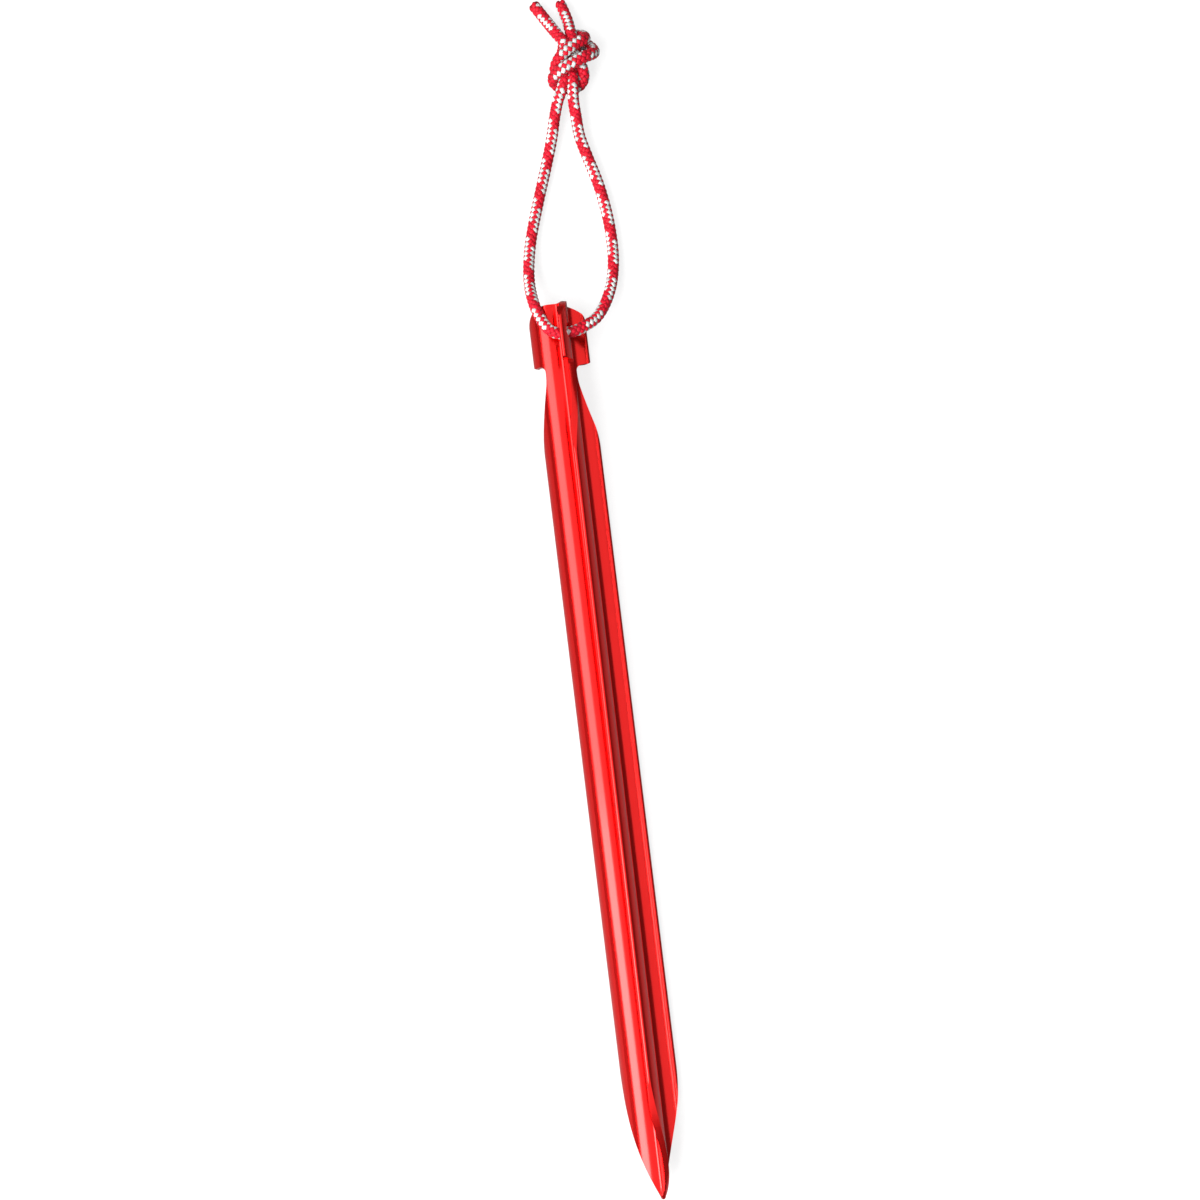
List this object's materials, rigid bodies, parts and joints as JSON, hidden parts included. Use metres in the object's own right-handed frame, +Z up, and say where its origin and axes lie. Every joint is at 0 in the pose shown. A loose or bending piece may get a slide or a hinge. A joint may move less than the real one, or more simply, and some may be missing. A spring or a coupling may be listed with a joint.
{
  "type": "tent stake",
  "caption": "Y-beam tent stake in red anodised aluminium, with curled fins, a notched head, a turned point and a braided pull loop tied through its head",
  "frame": {"origin": "on the surface the stake lies on, midway along its length and midway across its fins", "axes": "+Y along the stake towards its head, +Z up through the standing fin, +X to the side that fin curls to"},
  "size_m": [0.0211, 0.2551, 0.0107],
  "materials": {
    "anodised_aluminium": "satin red anodised",
    "braided_cord": "matte woven sheath, red with white picks"
  },
  "bodies": {
    "stake": {"stake": "anodised_aluminium"},
    "pull_loop": {"pull_cord": "braided_cord", "pull_cord_knot": "braided_cord", "pull_cord_left_tail": "braided_cord", "pull_cord_right_tail": "braided_cord"}
  },
  "joints": [
    {"name": "loop_swing", "type": "hinge", "parent": "stake", "child": "pull_loop", "pos_m": [0.0012, 0.0882, 0.0076], "axis": [1, 0, 0], "range_deg": [0, 170]}
  ]
}
